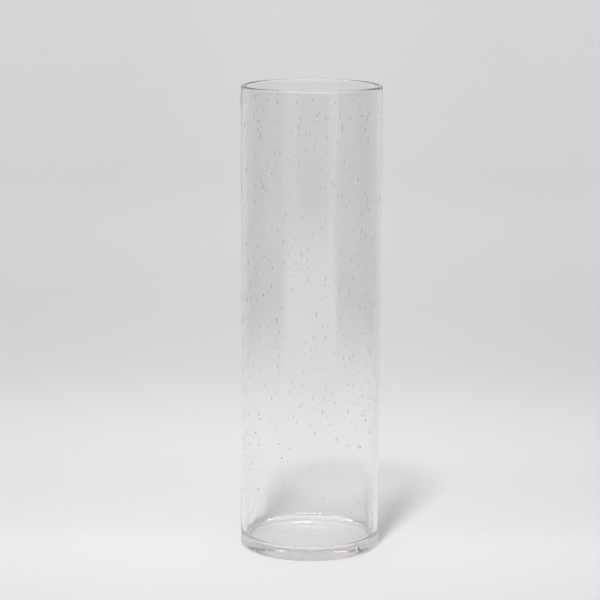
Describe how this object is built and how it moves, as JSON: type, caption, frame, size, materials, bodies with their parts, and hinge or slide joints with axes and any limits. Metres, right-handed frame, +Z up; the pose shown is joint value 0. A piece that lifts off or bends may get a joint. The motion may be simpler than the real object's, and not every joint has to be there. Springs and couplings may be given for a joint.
{
  "type": "glass cylinder vase",
  "caption": "Tall straight-sided cylinder vase in clear seeded glass, with a fire-polished lip and a thick base that stands on a ring.",
  "frame": {"origin": "centre of the ring the vase stands on, on the surface it stands on", "axes": "+Z up the vase's axis towards its mouth; the vase is the same all the way round, so +X and +Y are any two directions across it"},
  "size_m": [0.12, 0.12, 0.4],
  "materials": {
    "clear_glass": "clear soda-lime glass with small drawn-out air seeds, fire-polished, a very faint grey-mauve tint where it is thick"
  },
  "bodies": {
    "root": {"vase_wall": "clear_glass", "vase_base": "clear_glass"}
  },
  "joints": []
}
